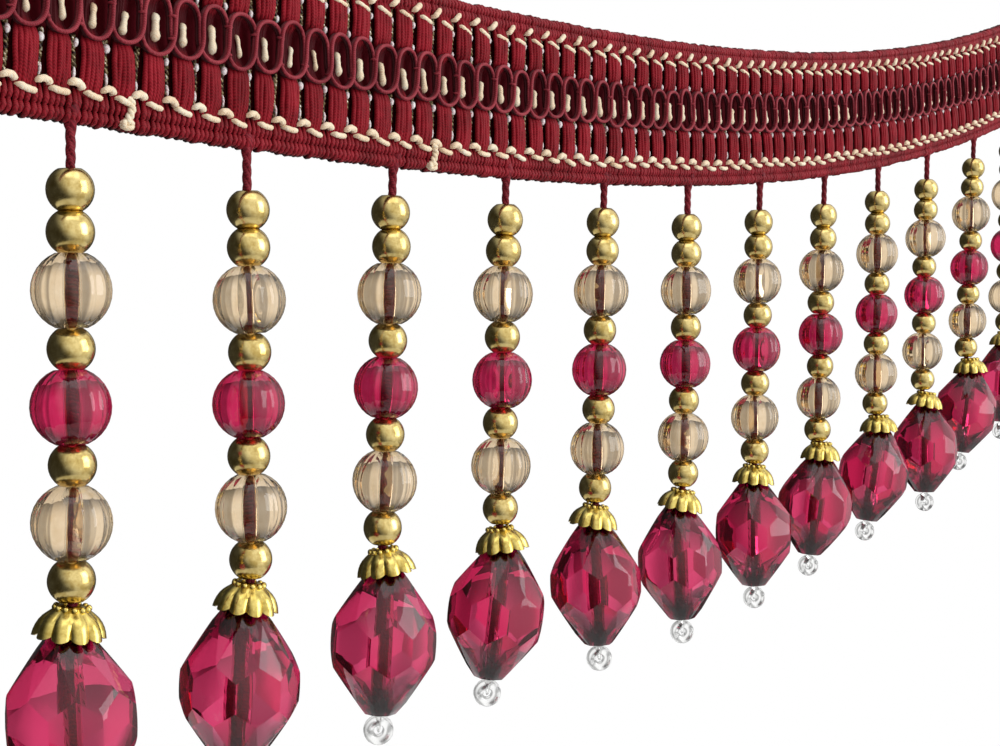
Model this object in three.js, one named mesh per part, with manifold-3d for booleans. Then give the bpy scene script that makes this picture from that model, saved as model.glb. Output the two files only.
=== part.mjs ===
// Beaded fringe trim: a woven gimp braid with a row of bead strands hanging from its lower selvedge.
// Millimetres. +X runs along the trim, +Y to its back, +Z up. The origin is the middle of the top edge.
import * as THREE from 'three';
import { mergeVertices } from 'three/addons/utils/BufferGeometryUtils.js';
import Module from 'manifold-3d';

const wasm = await Module();
wasm.setup();

const gap = 0.3; // clearance between neighbouring pieces

// Braid: 72 column ribs, six to each strand, hanging in a shallow uneven sag
const ribPitch = 4;
const ribCount = 72;
const trimLength = ribPitch * ribCount;
const trimEnd = trimLength / 2;
const braidHeight = 22;
const selvedgeHeight = 2.1; // lower selvedge, which carries the strands
const backFace = 0.4; // the flat back lies this far behind the middle plane
const sagLowX = -88; // the lower edge is lowest here
const sagReach = trimEnd - sagLowX;
const sagSquareRise = 20.6; // rise of the lower edge at its right end, in two parts
const sagCubeRise = 9.6;

// Bead strands
const strandPitch = 6 * ribPitch;
const firstStrandX = -132; // on the gap between two ribs
const threadSide = 0.9;
const threadRoot = 1.4; // buried in the selvedge
const rootOut = 0.35; // the threads leave the selvedge in the middle of its thickness
const bareThread = 4.5; // seen between the selvedge and the first bead
const boreRadius = 1.05;
const boreSides = 8;
const neckRadius = 1.55; // beads meet at the flats round their holes
const goldBead = { height: 4.2, radius: 2.42, land: 0.95 }; // land: half height of its widest band
const ribbedBead = { height: 7.5, radius: 4.05, shoulder: 3.25, shoulderRise: 2.3 };
const stringing = ['gold', 'gold', 'ribbed', 'gold', 'ribbed', 'gold', 'ribbed', 'gold'];

// Petal cap, drop and stop bead under the string
const cap = { height: 3.3, collar: 0.9, collarRadius: 2.15, bore: 1.65, waist: 1.95, rim: 3.65, wall: 0.42 };
const petals = 10;
const petalSwell = 0.15; // a petal's middle stands out from the valleys by twice this
const dropTop = 2.65; // the drop's top end below the cap's top
const dropHalf = { end: 9.0, shoulder: 5.1, belly: 2.5 };
const dropRadius = { end: 2.1, shoulder: 5.2, belly: 6.85 };
const dropSides = 8;
const stopBead = { radius: 1.9, hole: 0.6, length: 2.6, sides: 10, turn: -36 }; // turn: degrees about +Z

// Beads sway across the trim's front towards this side
const swayToward = new THREE.Vector3(0.6, -0.8, 0);

// One row for each strand: spare thread and the root's shift along the edge in mm, then leans in degrees
// and the slides of the cap and the drop in mm, all towards the sway side
const strands = [
  { spare: 0.15, aside: 0.0, string: 0.4, cap: -6, capSlide: -0.05, drop: 2.5, dropSlide: -0.6 },
  { spare: 0.3, aside: 0.0, string: 1.0, cap: -8, capSlide: -0.2, drop: -2, dropSlide: -0.8 },
  { spare: -0.85, aside: 0.8, string: -1.1, cap: 9.5, capSlide: 0.2, drop: -2.5, dropSlide: 0.85 },
  { spare: -0.8, aside: 0.0, string: -0.3, cap: 8, capSlide: 0.05, drop: -5.5, dropSlide: 0.85 },
  { spare: -0.8, aside: 0.0, string: -0.6, cap: -8, capSlide: 0.05, drop: 3.6, dropSlide: -0.5 },
  { spare: 0.25, aside: 0.0, string: 0.15, cap: -10, capSlide: 0.05, drop: 3, dropSlide: -0.9 },
  { spare: 0.3, aside: 0.0, string: 0.0, cap: -3, capSlide: 0.05, drop: 1.8, dropSlide: -0.25 },
  { spare: 0.75, aside: 0.7, string: -0.2, cap: -2.5, capSlide: 0.7, drop: -5.0, dropSlide: 0.75 },
  { spare: 0.3, aside: 0.0, string: 0.6, cap: 2, capSlide: 0.75, drop: -7, dropSlide: 1.35 },
  { spare: 0.7, aside: 0.0, string: 0.2, cap: -8, capSlide: 0.95, drop: 1.0, dropSlide: 0.7 },
  { spare: 0.0, aside: 1.6, string: -0.5, cap: 4, capSlide: 0.85, drop: -6.5, dropSlide: 1.45 },
  { spare: 0.2, aside: 0.0, string: 0.4, cap: -2, capSlide: 0.0, drop: -2, dropSlide: 0.1 },
];

// Braid relief down from the top edge: how far the face stands out at a rib and between ribs
const braidRows = [
  { down: 0, rib: 1.0, between: 1.0 },
  { down: 1.7, rib: 1.1, between: 1.1 },
  { down: 2.1, rib: 0.7, between: 0.7 },
  { down: 2.8, rib: 1.3, between: 1.0 },
  { down: 3.5, rib: 0.8, between: 0.4 },
  { down: 4.0, rib: 1.1, between: 0.2 },
  { down: 7.1, rib: 1.1, between: 0.2 },
  { down: 7.7, rib: 0.5, between: 0.2 },
  { down: 9.1, rib: 1.4, between: 0.6 },
  { down: 12.0, rib: 1.4, between: 0.6 },
  { down: 13.4, rib: 0.5, between: 0.2 },
  { down: 13.9, rib: 1.1, between: 0.2 },
  { down: 17.2, rib: 1.1, between: 0.2 },
  { down: 17.8, rib: 0.8, between: 0.6 },
  { down: 18.6, rib: 1.0, between: 1.3 },
  { down: braidHeight - selvedgeHeight - gap, rib: 0.8, between: 0.8 },
];

// Lower selvedge section, up from the lower edge and out from the middle plane
const selvedgeSection = [
  { up: 0, out: -0.2 },
  { up: 0, out: 0.6 },
  { up: 0.6, out: 1.1 },
  { up: selvedgeHeight, out: 0.9 },
  { up: selvedgeHeight, out: -backFace },
];

function sagRise(x) {
  const s = (x - sagLowX) / sagReach;
  return sagSquareRise * s ** 2 + sagCubeRise * s ** 3;
}

function sagAngle(x) {
  const s = (x - sagLowX) / sagReach;
  return Math.atan((2 * sagSquareRise * s + 3 * sagCubeRise * s ** 2) / sagReach);
}

// The foot of the line square to the lower edge that meets the top edge at the origin
function footBelowOrigin() {
  let foot = 0;
  for (let round = 0; round < 8; round += 1) foot = braidHeight * Math.sin(sagAngle(foot));
  return foot;
}

const foot = footBelowOrigin();
const lowerEdgeBase = -sagRise(foot) - braidHeight * Math.cos(sagAngle(foot));

// A point of the hanging band: along the lower edge, up square to it, and out towards the front
function onBand(along, up, out) {
  const angle = sagAngle(along);
  const x = along - up * Math.sin(angle);
  const z = lowerEdgeBase + sagRise(along) + up * Math.cos(angle);
  return new THREE.Vector3(x, -out, z);
}

// A closed solid through rings of equal length, each end closed over the flat outline given
function sweptSolid(rings, outline) {
  const size = rings[0].length;
  const index = [];
  for (let r = 0; r + 1 < rings.length; r += 1) {
    for (let k = 0; k < size; k += 1) {
      const a = r * size + k;
      const b = r * size + (k + 1) % size;
      index.push(a, b, a + size, b, b + size, a + size);
    }
  }
  const last = (rings.length - 1) * size;
  const clockwise = THREE.ShapeUtils.isClockWise(outline);
  for (const corners of THREE.ShapeUtils.triangulateShape(outline, [])) {
    const sameWay = THREE.ShapeUtils.isClockWise(corners.map((k) => outline[k])) === clockwise;
    const [a, b, c] = sameWay ? corners : [...corners].reverse();
    index.push(a, c, b, last + a, last + b, last + c);
  }
  const geometry = new THREE.BufferGeometry().setFromPoints(rings.flat());
  geometry.setIndex(index);
  return geometry;
}

// Lathe turned about +Z from a closed profile of [radius, height] pairs
function turned(profile, sides) {
  const points = [...profile, profile[0]].map(([radius, height]) => new THREE.Vector2(radius, height));
  const geometry = new THREE.LatheGeometry(points, sides);
  geometry.deleteAttribute('normal');
  geometry.deleteAttribute('uv');
  return mergeVertices(geometry.rotateX(Math.PI / 2), 1e-4);
}

function toSolid(geometry) {
  const vertProperties = new Float32Array(geometry.attributes.position.array);
  const triVerts = new Uint32Array(geometry.index.array);
  return new wasm.Manifold(new wasm.Mesh({ numProp: 3, vertProperties, triVerts }));
}

function toGeometry(solid) {
  const mesh = solid.getMesh();
  const geometry = new THREE.BufferGeometry();
  geometry.setAttribute('position', new THREE.BufferAttribute(mesh.vertProperties, 3));
  geometry.setIndex(new THREE.BufferAttribute(mesh.triVerts, 1));
  return geometry;
}

// Woven braid above its lower selvedge: two stations to each rib, one between ribs and one on the rib
function braidGeometry() {
  const section = (onRib) => {
    const front = braidRows.map((row) => ({
      up: braidHeight - row.down,
      out: onRib ? row.rib : row.between,
    }));
    const bottom = front[front.length - 1].up;
    return [...front, { up: bottom, out: -backFace }, { up: braidHeight, out: -backFace }];
  };
  const rings = [];
  for (let station = 0; station <= 2 * ribCount; station += 1) {
    const along = -trimEnd + station * ribPitch / 2;
    rings.push(section(station % 2 === 1).map((p) => onBand(along, p.up, p.out)));
  }
  const outline = section(false).map((p) => new THREE.Vector2(p.out, p.up));
  return sweptSolid(rings, outline);
}

function selvedgeGeometry() {
  const rings = [];
  for (let station = 0; station <= ribCount; station += 1) {
    const along = -trimEnd + station * ribPitch;
    rings.push([...selvedgeSection].reverse().map((p) => onBand(along, p.up, p.out)));
  }
  const outline = [...selvedgeSection].reverse().map((p) => new THREE.Vector2(p.out, p.up));
  return sweptSolid(rings, outline);
}

// Where a strand hangs: its root on the lower edge, the string's frame and the drop's frame below it
function strandFrame(row, number) {
  const root = onBand(firstStrandX + number * strandPitch + row.aside, 0, rootOut);
  const down = (lean) => {
    const angle = THREE.MathUtils.degToRad(lean);
    return new THREE.Vector3(0, 0, -Math.cos(angle)).addScaledVector(swayToward, Math.sin(angle));
  };
  const stringTop = root.clone().addScaledVector(down(row.string), bareThread + row.spare);
  const stringEnd = stringTop.clone().addScaledVector(down(row.string), stringLength);
  const lift = cap.collarRadius * Math.sin(THREE.MathUtils.degToRad(Math.abs(row.cap)));
  const pivot = stringEnd.clone().addScaledVector(down(row.string), gap + lift);
  const capTop = pivot.clone().addScaledVector(swayToward, row.capSlide);
  const dropLine = pivot.clone().addScaledVector(swayToward, row.dropSlide);
  const dropStart = dropLine.addScaledVector(down(row.drop), dropTop);
  const dropEnd = dropStart.clone().addScaledVector(down(row.drop), 2 * dropHalf.end);
  return { down, root, stringTop, stringEnd, pivot, capTop, dropStart, dropEnd };
}

// Square thread down the holes of its beads, ending level with the drop's lower tip
function threadGeometry(row, number) {
  const frame = strandFrame(row, number);
  const half = threadSide / 2;
  const start = frame.root.clone().addScaledVector(frame.down(row.string), -threadRoot);
  const stops = [start, frame.stringEnd, frame.dropStart, frame.dropEnd];
  const corners = [[half, -half], [half, half], [-half, half], [-half, -half]].reverse();
  const rings = stops.map((stop) => corners.map(([x, y]) => new THREE.Vector3(stop.x + x, stop.y + y, stop.z)));
  const outline = corners.map(([x, y]) => new THREE.Vector2(x, y));
  return sweptSolid(rings, outline);
}

// Lower selvedge with every thread rooted in it
function fringeGeometry() {
  let solid = toSolid(selvedgeGeometry());
  strands.forEach((row, number) => {
    solid = solid.add(toSolid(threadGeometry(row, number)));
  });
  return toGeometry(solid);
}

// Half profile of one bead from its upper flat down to, but not with, its lower flat
function beadProfile(kind, top) {
  const middle = top - beadHeight(kind) / 2;
  const neck = [neckRadius, top];
  if (kind === 'gold') {
    const { radius, land } = goldBead;
    return [neck, [radius, middle + land], [radius, middle - land]];
  }
  const { radius, shoulder, shoulderRise } = ribbedBead;
  return [neck, [shoulder, middle + shoulderRise], [radius, middle], [shoulder, middle - shoulderRise]];
}

function beadHeight(kind) {
  return kind === 'gold' ? goldBead.height : ribbedBead.height;
}

const stringLength = stringing.reduce((sum, kind) => sum + beadHeight(kind), 0);

// The string's beads joined at their flats, with the thread's hole down the middle
function stringGeometry() {
  const outer = [];
  let top = 0;
  for (const kind of stringing) {
    outer.push(...beadProfile(kind, top));
    top -= beadHeight(kind);
  }
  outer.push([neckRadius, top]);
  return turned([...outer, [boreRadius, top], [boreRadius, 0]].reverse(), boreSides);
}

// Petal cap: a collar over a flared skirt whose rim is scalloped into petals
function capGeometry() {
  const { height, collar, collarRadius, bore, waist, rim, wall } = cap;
  const profile = [[collarRadius, 0], [waist, -collar], [rim, -height], [rim - wall, -height],
    [bore, -collar], [bore, 0]];
  const geometry = turned(profile.reverse(), 2 * petals);
  const position = geometry.attributes.position;
  for (let i = 0; i < position.count; i += 1) {
    const x = position.getX(i);
    const y = position.getY(i);
    const depth = Math.max(0, -position.getZ(i) - collar) / (height - collar);
    const swell = petalSwell * depth * Math.cos(petals * Math.atan2(y, x));
    const scale = 1 + swell / Math.hypot(x, y);
    position.setXYZ(i, x * scale, y * scale, position.getZ(i) - swell);
  }
  return geometry;
}

// Faceted drop: eight tall facets round the belly, then two rows of triangles to each flat end
function dropGeometry() {
  const { end, shoulder, belly } = dropHalf;
  const rings = [
    { z: 0, r: dropRadius.end, turn: 0 },
    { z: end - shoulder, r: dropRadius.shoulder, turn: 0.5 },
    { z: end - belly, r: dropRadius.belly, turn: 0 },
    { z: end + belly, r: dropRadius.belly, turn: 0 },
    { z: end + shoulder, r: dropRadius.shoulder, turn: 0.5 },
    { z: 2 * end, r: dropRadius.end, turn: 0 },
    { z: 2 * end, r: boreRadius, turn: 0 },
    { z: 0, r: boreRadius, turn: 0 },
  ];
  const points = [];
  for (const ring of rings) {
    for (let side = 0; side < dropSides; side += 1) {
      const angle = (side + ring.turn) * 2 * Math.PI / dropSides;
      points.push(new THREE.Vector3(ring.r * Math.cos(angle), ring.r * Math.sin(angle), -ring.z));
    }
  }
  const index = [];
  rings.forEach((ring, r) => {
    const next = (r + 1) % rings.length;
    for (let side = 0; side < dropSides; side += 1) {
      const a = r * dropSides + side;
      const b = r * dropSides + (side + 1) % dropSides;
      const c = next * dropSides + side;
      const d = next * dropSides + (side + 1) % dropSides;
      if (ring.turn > rings[next].turn) index.push(a, d, b, a, c, d);
      else index.push(a, c, b, b, c, d);
    }
  });
  const geometry = new THREE.BufferGeometry().setFromPoints(points);
  geometry.setIndex(index);
  return geometry;
}

// Stop bead: a small ring lying with its hole level, turned to the front
function stopBeadGeometry() {
  const { radius, hole, length, sides, turn } = stopBead;
  const half = length / 2;
  const profile = [[hole, half], [radius, half * 0.6], [radius, -half * 0.6], [hole, -half]];
  const level = turned(profile.reverse(), sides).rotateX(Math.PI / 2);
  return level.rotateZ(THREE.MathUtils.degToRad(turn));
}

function material(color, roughness, metalness) {
  return new THREE.MeshStandardMaterial({ color, roughness, metalness });
}

const braidRed = material(0x8f1c2c, 0.85, 0);
const threadRed = material(0x4c0b18, 0.8, 0);
const gold = material(0xc9ad55, 0.25, 0.9);
const ruby = material(0xb01c55, 0.1, 0);
const clear = material(0xe8e6e2, 0.08, 0);

const group = new THREE.Group();

function addPiece(name, geometry, look, parent = group) {
  const mesh = new THREE.Mesh(geometry, look);
  mesh.name = name;
  parent.add(mesh);
  return mesh;
}

// Stands a piece on a point of the strand, leaning by the angle given towards the sway side
function hangPiece(mesh, place, lean) {
  const axis = new THREE.Vector3(0, 0, 1).cross(swayToward);
  mesh.position.copy(place);
  mesh.quaternion.setFromAxisAngle(axis, -THREE.MathUtils.degToRad(lean));
}

addPiece('braid', braidGeometry(), braidRed);
addPiece('fringe', fringeGeometry(), threadRed);

strands.forEach((row, number) => {
  const frame = strandFrame(row, number);
  const label = String(number + 1).padStart(2, '0');
  const stopPlace = frame.dropEnd.clone().addScaledVector(frame.down(row.drop), gap + stopBead.radius);
  hangPiece(addPiece(`beads_${label}`, stringGeometry(), gold), frame.stringTop, row.string);
  hangPiece(addPiece(`cap_${label}`, capGeometry(), gold), frame.capTop, row.cap);
  hangPiece(addPiece(`drop_${label}`, dropGeometry(), ruby), frame.dropStart, row.drop);
  hangPiece(addPiece(`stop_${label}`, stopBeadGeometry(), clear), stopPlace, row.drop);
});

export default group;
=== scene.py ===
import math

import bmesh
import bpy
import numpy as np
from mathutils import Matrix, Vector


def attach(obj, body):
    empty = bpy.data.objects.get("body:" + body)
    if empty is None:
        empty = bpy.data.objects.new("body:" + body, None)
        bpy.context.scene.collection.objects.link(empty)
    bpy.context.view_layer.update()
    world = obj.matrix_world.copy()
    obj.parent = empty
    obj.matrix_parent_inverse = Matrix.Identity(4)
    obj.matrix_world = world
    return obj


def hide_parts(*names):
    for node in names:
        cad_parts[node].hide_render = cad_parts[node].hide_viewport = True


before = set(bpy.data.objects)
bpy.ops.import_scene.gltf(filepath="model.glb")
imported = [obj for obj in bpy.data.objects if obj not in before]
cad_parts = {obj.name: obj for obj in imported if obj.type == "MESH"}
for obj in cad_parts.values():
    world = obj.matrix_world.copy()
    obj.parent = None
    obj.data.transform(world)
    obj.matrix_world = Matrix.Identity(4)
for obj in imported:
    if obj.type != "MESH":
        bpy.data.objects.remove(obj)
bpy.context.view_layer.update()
bpy.ops.object.select_all(action="DESELECT")

mm = 0.001  # the frame is in metres, the trim's sizes are given in millimetres

# The hanging band. Flat band space has X along the lower edge, Z up from it and Y towards the back
band = {
    "ribPitch": 4 * mm,
    "ribCount": 72,
    "height": 22 * mm,
    "lowX": -88 * mm,  # the lower edge is lowest here
    "reach": 232 * mm,
    "squareRise": 20.6 * mm,
    "cubeRise": 9.6 * mm,
}
trimEnd = band["ribPitch"] * band["ribCount"] / 2


def sagRise(along):
    share = (along - band["lowX"]) / band["reach"]
    return band["squareRise"] * share**2 + band["cubeRise"] * share**3


def sagAngle(along):
    share = (along - band["lowX"]) / band["reach"]
    slope = 2 * band["squareRise"] * share + 3 * band["cubeRise"] * share**2
    return np.arctan(slope / band["reach"])


def lowerEdgeBase():
    foot = 0.0
    for _ in range(8):
        foot = band["height"] * math.sin(sagAngle(foot))
    return -sagRise(foot) - band["height"] * math.cos(sagAngle(foot))


edgeBase = lowerEdgeBase()


def ribMiddle(number):
    return -trimEnd + (number + 0.5) * band["ribPitch"]


def slotMiddle(number):
    return -trimEnd + number * band["ribPitch"]


def onBand(along, up, out):
    angle = sagAngle(along)
    x = along - up * np.sin(angle)
    z = edgeBase + sagRise(along) + up * np.cos(angle)
    return np.stack([x, -out, z], axis=-1)


# Small helpers for picking, finishing and placing pieces
def deselectAll():
    bpy.ops.object.select_all(action="DESELECT")


def pick(piece):
    deselectAll()
    piece.select_set(True)
    bpy.context.view_layer.objects.active = piece


def readPoints(piece):
    points = np.zeros(len(piece.data.vertices) * 3)
    piece.data.vertices.foreach_get("co", points)
    return points.reshape(-1, 3)


def writePoints(piece, points):
    piece.data.vertices.foreach_set("co", np.ascontiguousarray(points, float).ravel())
    piece.data.update()


def applyModifier(piece, kind, **settings):
    pick(piece)
    modifier = piece.modifiers.new(kind.title(), kind)
    for key, value in settings.items():
        setattr(modifier, key, value)
    bpy.ops.object.modifier_apply(modifier=modifier.name)


def hangOnBand(piece):
    # the flat place of every point is kept for the thread materials, then the cloth is hung in its sag
    points = readPoints(piece)
    flat = piece.data.attributes.new("flat", "FLOAT_VECTOR", "POINT")
    flat.data.foreach_set("vector", points.astype(np.float32).ravel())
    writePoints(piece, onBand(points[:, 0], points[:, 2], -points[:, 1]))


def finishPiece(piece, look, nodes):
    piece.data.materials.clear()
    piece.data.materials.append(look)
    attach(piece, "root")
    if nodes:
        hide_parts(*nodes)
    return piece


# Threads are curves made into meshes. A path is an array with one row for each point: x, y, z, thickness
def threadMesh(name, paths, radius, sides=6):
    curve = bpy.data.curves.new(name, "CURVE")
    curve.dimensions = "3D"
    curve.bevel_depth = radius
    curve.bevel_resolution = (sides - 4) // 2
    curve.use_fill_caps = True
    for path in paths:
        spline = curve.splines.new("POLY")
        spline.points.add(len(path) - 1)
        places = np.ones((len(path), 4))
        places[:, :3] = path[:, :3]
        spline.points.foreach_set("co", places.ravel())
        spline.points.foreach_set("radius", path[:, 3].astype(float))
    piece = bpy.data.objects.new(name, curve)
    bpy.context.scene.collection.objects.link(piece)
    pick(piece)
    bpy.ops.object.convert(target="MESH")
    return bpy.context.object


def weave(name, paths, radius, look, nodes=("braid",), sides=6):
    # the threads are laid flat and then hung with the cloth
    piece = threadMesh(name, paths, radius, sides)
    hangOnBand(piece)
    return finishPiece(piece, look, nodes)


def pathOf(x, y, z, thickness=1.0):
    x, y, z, thickness = np.broadcast_arrays(x, y, z, thickness)
    return np.stack([x, y, z, thickness], axis=-1).astype(float)


def plied(path, plies, offset, pitch, start=0.0):
    # the plies of one twisted thread wind round its path
    places = path[:, :3]
    tangent = np.gradient(places, axis=0)
    tangent /= np.linalg.norm(tangent, axis=1, keepdims=True)
    side = np.cross(tangent, [0.0, 1.0, 0.0])
    side /= np.linalg.norm(side, axis=1, keepdims=True)
    front = np.cross(side, tangent)
    travelled = np.concatenate([[0], np.cumsum(np.linalg.norm(np.diff(places, axis=0), axis=1))])
    strandsOfPly = []
    for ply in range(plies):
        turn = 2 * math.pi * (travelled / pitch + ply / plies) + start
        radius = offset * path[:, 3]
        ring = side * (radius * np.cos(turn))[:, None] + front * (radius * np.sin(turn))[:, None]
        strandsOfPly.append(np.concatenate([places + ring, path[:, 3:]], axis=1))
    return strandsOfPly


# Shader node helpers and the groups that several materials share
def addNode(tree, kind, **settings):
    node = tree.nodes.new(kind)
    for key, value in settings.items():
        if key in node.inputs:
            node.inputs[key].default_value = value
        else:
            setattr(node, key, value)
    return node


def setInputs(node, values):
    for name, value in values.items():
        node.inputs[name].default_value = value


def ramp(tree, source, stops):
    node = tree.nodes.new("ShaderNodeValToRGB")
    elements = node.color_ramp.elements
    while len(elements) < len(stops):
        elements.new(0.5)
    for element, (place, colour) in zip(elements, stops):
        element.position = place
        element.color = (*colour, 1)
    tree.links.new(source, node.inputs["Fac"])
    return node.outputs["Color"]


def mathNode(tree, operation, first, second=0.0):
    node = tree.nodes.new("ShaderNodeMath")
    node.operation = operation
    for socket, value in zip(node.inputs, (first, second)):
        if isinstance(value, (int, float)):
            socket.default_value = value
        else:
            tree.links.new(value, socket)
    return node.outputs[0]


def mixColour(tree, blend, factor, first, second):
    node = tree.nodes.new("ShaderNodeMix")
    node.data_type = "RGBA"
    node.blend_type = blend
    if isinstance(factor, (int, float)):
        node.inputs[0].default_value = factor
    else:
        tree.links.new(factor, node.inputs[0])
    for socket, value in ((node.inputs[6], first), (node.inputs[7], second)):
        if isinstance(value, tuple):
            socket.default_value = (*value, 1)
        else:
            tree.links.new(value, socket)
    return node.outputs[2]


def newGroup(name, inputs, outputs):
    group = bpy.data.node_groups.new(name, "ShaderNodeTree")
    for label, kind in inputs:
        group.interface.new_socket(label, in_out="INPUT", socket_type=kind)
    for label, kind in outputs:
        group.interface.new_socket(label, in_out="OUTPUT", socket_type=kind)
    return group, group.nodes.new("NodeGroupInput"), group.nodes.new("NodeGroupOutput")


def makeSpunYarnGroup():
    # fine slanting turns of spun yarn, broken by soft fibres
    group, given, result = newGroup(
        "spun yarn",
        [("Vector", "NodeSocketVector"), ("Turns", "NodeSocketFloat"), ("Fibres", "NodeSocketFloat")],
        [("Shade", "NodeSocketFloat"), ("Height", "NodeSocketFloat")],
    )
    turns = addNode(
        group, "ShaderNodeTexWave", wave_type="BANDS", bands_direction="DIAGONAL", Distortion=1.5
    )
    turns.inputs["Detail Scale"].default_value = 2.0
    fibres = addNode(group, "ShaderNodeTexNoise", Detail=3.0, Roughness=0.6)
    group.links.new(given.outputs["Vector"], turns.inputs["Vector"])
    group.links.new(given.outputs["Turns"], turns.inputs["Scale"])
    group.links.new(given.outputs["Vector"], fibres.inputs["Vector"])
    group.links.new(given.outputs["Fibres"], fibres.inputs["Scale"])
    half = mathNode(group, "MULTIPLY", turns.outputs["Fac"], 0.5)
    rest = mathNode(group, "MULTIPLY", fibres.outputs["Fac"], 0.7)
    shade = mathNode(group, "ADD", half, rest)
    group.links.new(shade, result.inputs["Shade"])
    group.links.new(shade, result.inputs["Height"])
    return group


def makeShadeByDepthGroup():
    # painted shade: a mask, 0 deep in the cloth where the colour is darkened as shade, 1 on its face or its
    # back, from the flat place of the thread
    group, given, result = newGroup(
        "painted shade by depth in cloth",
        [("Flat", "NodeSocketVector"), ("Deep", "NodeSocketFloat"), ("Face", "NodeSocketFloat")],
        [("Mask", "NodeSocketFloat")],
    )
    split = group.nodes.new("ShaderNodeSeparateXYZ")
    group.links.new(given.outputs["Flat"], split.inputs[0])
    toFace = mathNode(group, "MULTIPLY", split.outputs["Y"], -1.0)
    toBack = mathNode(group, "MULTIPLY", split.outputs["Y"], 2.0)
    out = mathNode(group, "MAXIMUM", toFace, toBack)
    reach = group.nodes.new("ShaderNodeMapRange")
    reach.interpolation_type = "SMOOTHSTEP"
    group.links.new(out, reach.inputs["Value"])
    group.links.new(given.outputs["Deep"], reach.inputs["From Min"])
    group.links.new(given.outputs["Face"], reach.inputs["From Max"])
    group.links.new(reach.outputs["Result"], result.inputs["Mask"])
    return group


def makeMouldedGroup():
    # small waves and dust of moulded or plated plastic
    group, given, result = newGroup(
        "moulded plastic",
        [("Waves", "NodeSocketFloat"), ("Wear", "NodeSocketFloat")],
        [("Mask", "NodeSocketFloat"), ("Height", "NodeSocketFloat")],
    )
    place = group.nodes.new("ShaderNodeTexCoord")
    waves = addNode(group, "ShaderNodeTexNoise", Detail=2.0)
    wear = addNode(group, "ShaderNodeTexNoise", Detail=5.0, Roughness=0.65)
    for node, socket in ((waves, "Waves"), (wear, "Wear")):
        group.links.new(place.outputs["Object"], node.inputs["Vector"])
        group.links.new(given.outputs[socket], node.inputs["Scale"])
    group.links.new(wear.outputs["Fac"], result.inputs["Mask"])
    group.links.new(waves.outputs["Fac"], result.inputs["Height"])
    return group


spunYarn = makeSpunYarnGroup()
shadeByDepth = makeShadeByDepthGroup()
mouldedPlastic = makeMouldedGroup()


def placeGroup(tree, group, **values):
    node = tree.nodes.new("ShaderNodeGroup")
    node.node_tree = group
    setInputs(node, values)
    return node


def newMaterial(name):
    look = bpy.data.materials.new(name)
    look.use_nodes = True
    tree = look.node_tree
    return look, tree, tree.nodes["Principled BSDF"]


def addBump(tree, shader, height, strength, distance):
    bump = addNode(tree, "ShaderNodeBump", Strength=strength, Distance=distance)
    tree.links.new(height, bump.inputs["Height"])
    tree.links.new(bump.outputs["Normal"], shader.inputs["Normal"])


# Yarn: dark, middle and light tone along the fibres, with painted shade deep in the cloth where it is given a
# depth
def yarnMaterial(
    name, tones, roughness, sheen, turns, relief=0.3, gloss=0.22, depth=None,
    shadeTone=(0.012, 0.0, 0.001),
):
    look, tree, shader = newMaterial(name)
    yarn = placeGroup(tree, spunYarn, Turns=turns, Fibres=1500.0)
    place = tree.nodes.new("ShaderNodeTexCoord")
    tree.links.new(place.outputs["Object"], yarn.inputs["Vector"])
    patches = addNode(tree, "ShaderNodeTexNoise", Scale=260.0, Detail=2.0)
    tree.links.new(place.outputs["Object"], patches.inputs["Vector"])
    uneven = mathNode(tree, "MULTIPLY", patches.outputs["Fac"], 0.6)
    turned = mathNode(tree, "MULTIPLY", yarn.outputs["Shade"], 0.55)
    tone = mathNode(tree, "ADD", uneven, turned)
    colour = ramp(tree, tone, [(0.38, tones[0]), (0.62, tones[1]), (0.86, tones[2])])
    if depth:
        flat = addNode(tree, "ShaderNodeAttribute", attribute_name="flat")
        deep = placeGroup(tree, shadeByDepth, Deep=depth[0], Face=depth[1])
        tree.links.new(flat.outputs["Vector"], deep.inputs["Flat"])
        # painted shade: deep in the cloth the colour turns to the shade tone
        colour = mixColour(tree, "MIX", deep.outputs["Mask"], shadeTone, colour)
    tree.links.new(colour, shader.inputs["Base Color"])
    setInputs(shader, {"Roughness": roughness, "Specular IOR Level": gloss})
    setInputs(shader, {"Sheen Weight": sheen, "Sheen Roughness": 0.4})
    addBump(tree, shader, yarn.outputs["Height"], relief, 0.08 * mm)
    return look


redTones = ((0.11, 0.002, 0.005), (0.24, 0.005, 0.012), (0.38, 0.014, 0.028))
paintedShadeRed = (0.06, 0.001, 0.004)
# painted shade: the rib threads darken to a painted shade red where they run low behind the scroll
ribRed = yarnMaterial(
    "burgundy rayon", redTones, roughness=0.5, sheen=0.02, turns=1900.0, gloss=0.12,
    depth=(0.45 * mm, 1.15 * mm), shadeTone=paintedShadeRed
)
# painted shade: the edge turns darken to near-black where they lie deep in the cloth
edgeRed = yarnMaterial(
    "burgundy edge yarn", redTones, roughness=0.55, sheen=0.02, turns=1900.0, depth=(0.1 * mm, 0.85 * mm)
)
# painted shade: where the cords and links lie lower in the cloth, as the second course does, they darken to a
# near-black red, so a lit line runs along the top
scrollRed = yarnMaterial(
    "dusty red cord", ((0.15, 0.007, 0.015), (0.28, 0.020, 0.034), (0.42, 0.052, 0.07)),
    roughness=0.5, sheen=0.06, turns=2200.0, depth=(1.15 * mm, 1.6 * mm), shadeTone=(0.05, 0.001, 0.004)
)
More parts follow.
